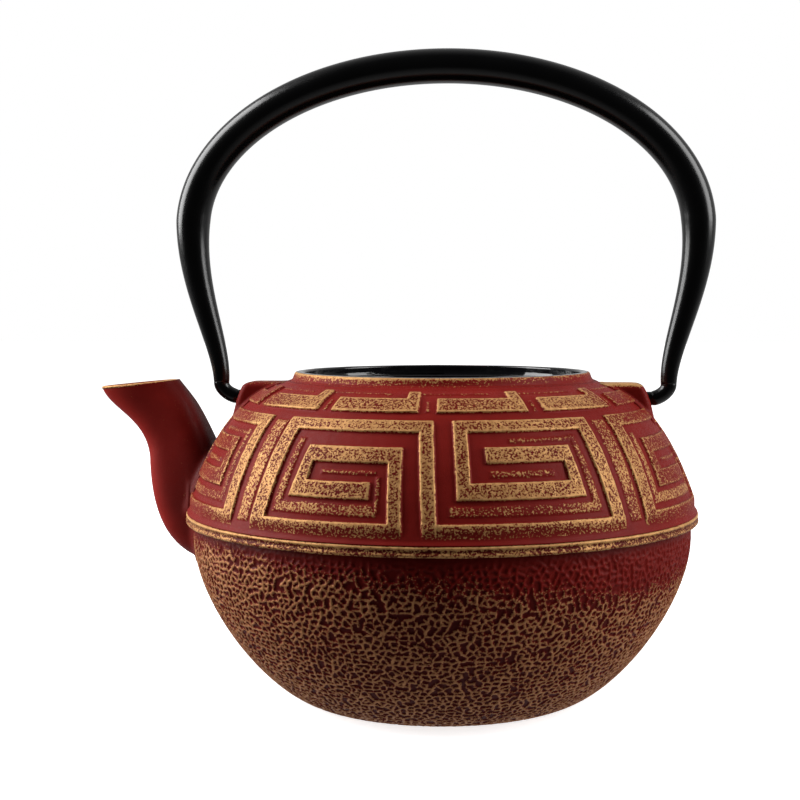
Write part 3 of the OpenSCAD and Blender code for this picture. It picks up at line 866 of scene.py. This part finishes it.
# %% Drilling with a boolean
def drill(piece_mesh, radius, start, end):
    """Cuts a round hole along X out of a mesh that isn't on an object yet."""
    turns = 2 * np.pi * np.arange(64) / 64
    rows = []
    for x in (start.x, end.x):
        rows.append(np.stack([np.full(64, x), start.y + radius * np.sin(turns),
                              start.z + radius * np.cos(turns)], -1))
    tool_mesh = mesh_from_rings("drill", np.array(rows), 2, loop=False)
    tool = bpy.data.objects.new("drill", tool_mesh)
    work = bpy.data.objects.new("work", piece_mesh)
    for made in (tool, work):
        bpy.context.scene.collection.objects.link(made)
    cut = work.modifiers.new("drill", "BOOLEAN")
    cut.operation, cut.object, cut.solver = "DIFFERENCE", tool, "MANIFOLD"
    drilled = bpy.data.meshes.new_from_object(work.evaluated_get(bpy.context.evaluated_depsgraph_get()))
    drilled.name = piece_mesh.name
    drilled.materials.clear()
    drilled.polygons.foreach_set("material_index", np.zeros(len(drilled.polygons), np.int32))
    print("drilled", piece_mesh.name, len(piece_mesh.vertices), "->", len(drilled.vertices), "points")
    for made in (tool, work):
        bpy.data.objects.remove(made)
    return drilled


# %% Both ears
PIN_R, PIN_GAP = 2.1, 0.08
ear_meshes = {}
for ear_name, way in (("back_ear_lug", 1), ("spout_side_ear_lug", -1)):
    points = ear_points * np.array([way, way, 1])
    mesh = mesh_from_rings(ear_name, points, len(points), loop=False)
    chipped = soft_noise(points, 3 * MM, seed=4.0 + way)
    top_gold = smooth_step(points[..., 2] / MM - HINGE_Z, EAR_RISE - 1.6, EAR_RISE - 0.2)
    face_gold = smooth_step(np.abs(points[..., 0]) / MM, ear_face + 1.2, ear_face + 3.2) * 0.3
    strength = 0.85 if way == 1 else 0.30
    store(mesh, "gold", np.clip(np.maximum(top_gold, face_gold) * (strength + 0.3 * chipped), 0, 1))
    store(mesh, "tone_and_painted_shade", np.full(chipped.shape, 0.95))
    depth = (ear_face - 5.4) * MM
    ear_meshes[ear_name] = drill(mesh, (PIN_R + PIN_GAP) * MM, Vector((way * depth, 0, HINGE_Z * MM)),
                                 Vector((way * 90 * MM, 0, HINGE_Z * MM)))

# %% [markdown]
# ## The bail
#
# The bail is a steel tube, swaged thinner towards both ends and bent to a flat arch. A rod
# welded into each end bends in to the pin that turns in the ear. A sweep does this: rings set
# square to a centre line, with a radius for each.


# %% Sweeping a rod in the plane of the bail
BLUNT = 0.08


def sweep(name, line, radii, sides):
    """A closed rod along (x, z) points in mm, with its own radius at each and blunted ends."""
    first, last = line[1] - line[0], line[-2] - line[-1]
    line = np.concatenate([line[:1], line[:1] + BLUNT * first / np.linalg.norm(first), line[1:-1],
                           line[-1:] + BLUNT * last / np.linalg.norm(last), line[-1:]])
    radii = np.concatenate([radii[:1] - BLUNT, radii, radii[-1:] - BLUNT])
    way = np.gradient(line, axis=0)
    way /= np.linalg.norm(way, axis=1)[:, None]
    turns = 2 * np.pi * np.arange(sides) / sides
    x = line[:, :1] + radii[:, None] * np.cos(turns) * way[:, 1:]
    z = line[:, 1:] - radii[:, None] * np.cos(turns) * way[:, :1]
    y = radii[:, None] * np.sin(turns)
    rings = np.stack([x, y, z], axis=-1) * MM
    return mesh_from_rings(name, rings, len(rings), loop=False, strips=1)


bail_low, bail_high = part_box("bail_tube")
hook_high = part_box("back_hook")[1]
TUBE_R = bail_high.y / MM
FOOT_R, HOOK_R = 2.45, 2.3
WAIST_RISE = 53
foot = np.array([hook_high.x / MM - FOOT_R, bail_low.z / MM])
crown_z = bail_high.z / MM - TUBE_R
waist_z = HINGE_Z + WAIST_RISE
waist_x = bail_high.x / MM - TUBE_R + 0.05
leg = bezier(foot, foot + [-0.2, 12], [waist_x + 0.6, waist_z - 20], [waist_x, waist_z],
             np.linspace(0, 1, 61))
arch = bezier([waist_x, waist_z], [waist_x - 0.7, waist_z + 27], [waist_x * 0.56, crown_z],
              [0, crown_z], np.linspace(0, 1, 101))
half = np.concatenate([leg, arch[1:]])
bail_line = np.concatenate([half, (half * [-1, 1])[-2::-1]])
swell = np.clip((bail_line[:, 1] - foot[1]) / (waist_z + 2 - foot[1]), 0, 1)
bail_radii = FOOT_R + (TUBE_R - FOOT_R) * swell
tube_mesh = sweep("bail_handle_tube", bail_line, bail_radii, 56)
print("bail, mm: foot", foot.round(1), "waist", round(waist_x, 1), "crown", round(crown_z, 1))

# %% The hooks
bend = bezier(foot + [0, -0.2], foot + [0, -2.4],
              [ear_face + 2.9, HINGE_Z], [ear_face + 0.8, HINGE_Z], np.linspace(0, 1, 31))
pin_end = ear_face - 5.1
hook_line = np.concatenate([[foot + [0, 0.9]], bend,
                            [[ear_face - 1, HINGE_Z], [pin_end, HINGE_Z]]])
hook_radii = np.concatenate([[FOOT_R - 0.1], np.linspace(FOOT_R, HOOK_R, 12), np.full(14, HOOK_R),
                             np.linspace(HOOK_R, PIN_R, 5), [PIN_R, PIN_R]])
hook_meshes = {"back_hook_rod": sweep("back_hook_rod", hook_line, hook_radii, 40),
               "spout_side_hook_rod": sweep("spout_side_hook_rod", hook_line * [-1, 1], hook_radii, 40)}

# %% [markdown]
# ## The port in the pot's wall
#
# A hole leads from the pot through its wall into the spout. It is cut through the shoulder and
# the enamel in the same way as the ears' sockets.

# %% Cutting the port
PORT_R = 7.5
port_z = SHOULDER_Z + (PORT_R + 0.8) * MM
inside_end, outside_end = Vector((-55 * MM, 0, port_z)), Vector((-77.5 * MM, 0, port_z))
enamel_mesh = drill(enamel_mesh, PORT_R * MM, outside_end, inside_end)
outside_end.x -= 4 * MM
shoulder_mesh = drill(shoulder_mesh, (PORT_R + 0.1) * MM, outside_end, inside_end)

# %% [markdown]
# ## Finish: matt paint on cast iron, wiped with gold
#
# Sand-cast iron is rough at about a third of a millimetre, and a matt acrylic paint follows
# it. The paint is a dielectric (IOR 1.5) and scatters light widely, roughness about 0.6. The
# gold is a bronze-powder paint: half metal, half binder, so partly metallic and roughness
# about 0.45. A dry cloth leaves it on the high grains only, in specks of about half a
# millimetre. The "gold" number of each point says how much of the surface the cloth reached.
# The film is powdery and shines less than smooth paint, so the specular level is set low.


# %% The painted iron
def per_mm(size):
    """A noise scale, in lumps per metre, for lumps of a size in millimetres."""
    return 1000.0 / size


def painted_iron(name, red_dark, red_light, gold_dark, gold_light, grit=0.05):
    """Matt paint on a casting, with specks of gold where the cloth reached."""
    finish, tree, surface = new_finish(name)
    place_on = add(tree, "ShaderNodeTexCoord", {}, out="Object")
    reached = add(tree, "ShaderNodeAttribute", {}, out="Fac", attribute_name="gold")
    tone_and_painted_shade = add(tree, "ShaderNodeAttribute", {}, out="Fac", attribute_name="tone_and_painted_shade")
    speck = add(tree, "ShaderNodeTexNoise", {"Vector": place_on, "Scale": per_mm(0.58),
                "Detail": 2.0, "Roughness": 0.6})
    speck = add(tree, "ShaderNodeMapRange", {"Value": speck, "From Min": 0.30, "From Max": 0.70})
    cover = add(tree, "ShaderNodeMath", {0: reached, 1: speck}, operation="ADD")
    gilt = add(tree, "ShaderNodeMapRange", {"Value": cover, "From Min": 1.0, "From Max": 1.10})
    patch = add(tree, "ShaderNodeTexNoise", {"Vector": place_on, "Scale": per_mm(7.0), "Detail": 3.0})
    red = add(tree, "ShaderNodeMix", {"Factor": patch, "A": paint(red_dark), "B": paint(red_light)},
              data_type="RGBA")
    # The tone number multiplies the red. On the spout and the flange it is painted light and shade.
    red = add(tree, "ShaderNodeMix", {"Factor": 1.0, "A": red, "B": tone_and_painted_shade}, data_type="RGBA",
              blend_type="MULTIPLY")
    flake = add(tree, "ShaderNodeTexNoise", {"Vector": place_on, "Scale": per_mm(1.4), "Detail": 3.0})
    flake = add(tree, "ShaderNodeMapRange", {"Value": flake, "From Min": 0.3, "From Max": 0.7,
                "To Max": 0.55})
    flake = add(tree, "ShaderNodeMath", {0: reached, 1: 0.45, 2: flake}, operation="MULTIPLY_ADD")
    bronze = add(tree, "ShaderNodeMix", {"Factor": flake, "A": paint(gold_dark), "B": paint(gold_light)},
                 data_type="RGBA")
    colour = add(tree, "ShaderNodeMix", {"Factor": gilt, "A": red, "B": bronze}, data_type="RGBA")
    metal = add(tree, "ShaderNodeMath", {0: gilt, 1: 0.25}, operation="MULTIPLY")
    rough = add(tree, "ShaderNodeMapRange", {"Value": gilt, "To Min": 0.62, "To Max": 0.46})
    sand = add(tree, "ShaderNodeTexNoise", {"Vector": place_on, "Scale": per_mm(0.38), "Detail": 2.0})
    rough = add(tree, "ShaderNodeMath", {0: rough, 1: 0.10, 2: sand}, operation="MULTIPLY_ADD")
    rough = add(tree, "ShaderNodeMath", {0: rough, 1: 0.05}, operation="SUBTRACT")
    relief = add(tree, "ShaderNodeMath", {0: gilt, 1: 0.5, 2: sand}, operation="MULTIPLY_ADD")
    bump = add(tree, "ShaderNodeBump", {"Height": relief, "Distance": grit * MM, "Strength": 1.0})
    connect(tree, surface, {"Base Color": colour, "Metallic": metal, "Roughness": rough,
                            "Normal": bump, "IOR": 1.5, "Specular IOR Level": 0.08})
    return finish


red_iron = painted_iron("matt_red_painted_cast_iron_with_gold",
                        "#731511", "#8C211B", "#8F562B", "#E6B173")
pebbled_iron = painted_iron("red_pebbled_cast_iron_with_thin_gold",
                            "#6E120D", "#881E17", "#874C2B", "#CE9263")

# %% [markdown]
# ## Finish: black vitreous enamel
#
# Glass with an IOR of 1.5 and a very smooth surface, roughness about 0.1. Long waves of a few
# millimetres are left from its melting.

# %% The enamel
enamel, tree, surface = new_finish("black_vitreous_enamel")
place_on = add(tree, "ShaderNodeTexCoord", {}, out="Object")
cloud = add(tree, "ShaderNodeTexNoise", {"Vector": place_on, "Scale": per_mm(5.0), "Detail": 3.0})
black = add(tree, "ShaderNodeMix", {"Factor": cloud, "A": paint("#08080A"), "B": paint("#151417")},
            data_type="RGBA")
gloss = add(tree, "ShaderNodeMapRange", {"Value": cloud, "To Min": 0.05, "To Max": 0.14})
ripple = add(tree, "ShaderNodeTexNoise", {"Vector": place_on, "Scale": per_mm(3.0), "Detail": 2.0})
ripple = add(tree, "ShaderNodeBump", {"Height": ripple, "Distance": 0.10 * MM, "Strength": 0.8})
connect(tree, surface, {"Base Color": black, "Roughness": gloss, "Normal": ripple, "IOR": 1.5})

# %% [markdown]
# ## Finish: lacquered steel
#
# The bail is sprayed with a semi-gloss black lacquer. It is nearly black, with an IOR of 1.5,
# roughness of 0.18 to 0.27, and the faint orange peel of a sprayed film.

# %% The black lacquer
lacquer, tree, surface = new_finish("black_lacquered_steel")
place_on = add(tree, "ShaderNodeTexCoord", {}, out="Object")
cloud = add(tree, "ShaderNodeTexNoise", {"Vector": place_on, "Scale": per_mm(12.0), "Detail": 3.0})
black = add(tree, "ShaderNodeMix", {"Factor": cloud, "A": paint("#040404"), "B": paint("#080809")},
            data_type="RGBA")
gloss = add(tree, "ShaderNodeMapRange", {"Value": cloud, "To Min": 0.18, "To Max": 0.27})
peel = add(tree, "ShaderNodeTexNoise", {"Vector": place_on, "Scale": per_mm(1.2), "Detail": 1.0})
peel = add(tree, "ShaderNodeBump", {"Height": peel, "Distance": 0.02 * MM, "Strength": 0.7})
connect(tree, surface, {"Base Color": black, "Roughness": gloss, "Normal": peel, "IOR": 1.5})

# %% [markdown]
# ## Putting the pieces in place
#
# Every piece rides on one of the two moving bodies of the model, the pot or the bail, and
# stands for the solid that it details. The solids stay hidden beneath, for collision.

# %% The pot's pieces
place(bowl_mesh, "pot", ["bowl"], "painted_iron", pebbled_iron)
place(flange_mesh, "pot", ["girdle_flange"], "gold_wash", red_iron)
place(shoulder_mesh, "pot", ["shoulder"], "painted_iron", red_iron)
place(collar_mesh, "pot", ["neck_collar"], "painted_iron", red_iron)
place(enamel_mesh, "pot", ["enamel_lining"], "enamel", enamel)
place(spout_mesh, "pot", ["spout"], "painted_iron", red_iron, enamel)
inside_rings = np.repeat(np.arange(len(spout_points)) >= LIP_AT + len(lip_rows), SPOUT_SIDES)
spout_mesh.polygons.foreach_set("material_index", inside_rings.astype(np.int32))
place(ear_meshes["spout_side_ear_lug"], "pot", ["spout_side_ear"], "painted_iron", red_iron)
place(ear_meshes["back_ear_lug"], "pot", ["back_ear"], "painted_iron", red_iron)

# %% The bail's pieces
place(tube_mesh, "bail", ["bail_tube"], "black_steel", lacquer)
place(hook_meshes["spout_side_hook_rod"], "bail", ["spout_side_hook"], "black_steel", lacquer)
place(hook_meshes["back_hook_rod"], "bail", ["back_hook"], "black_steel", lacquer)
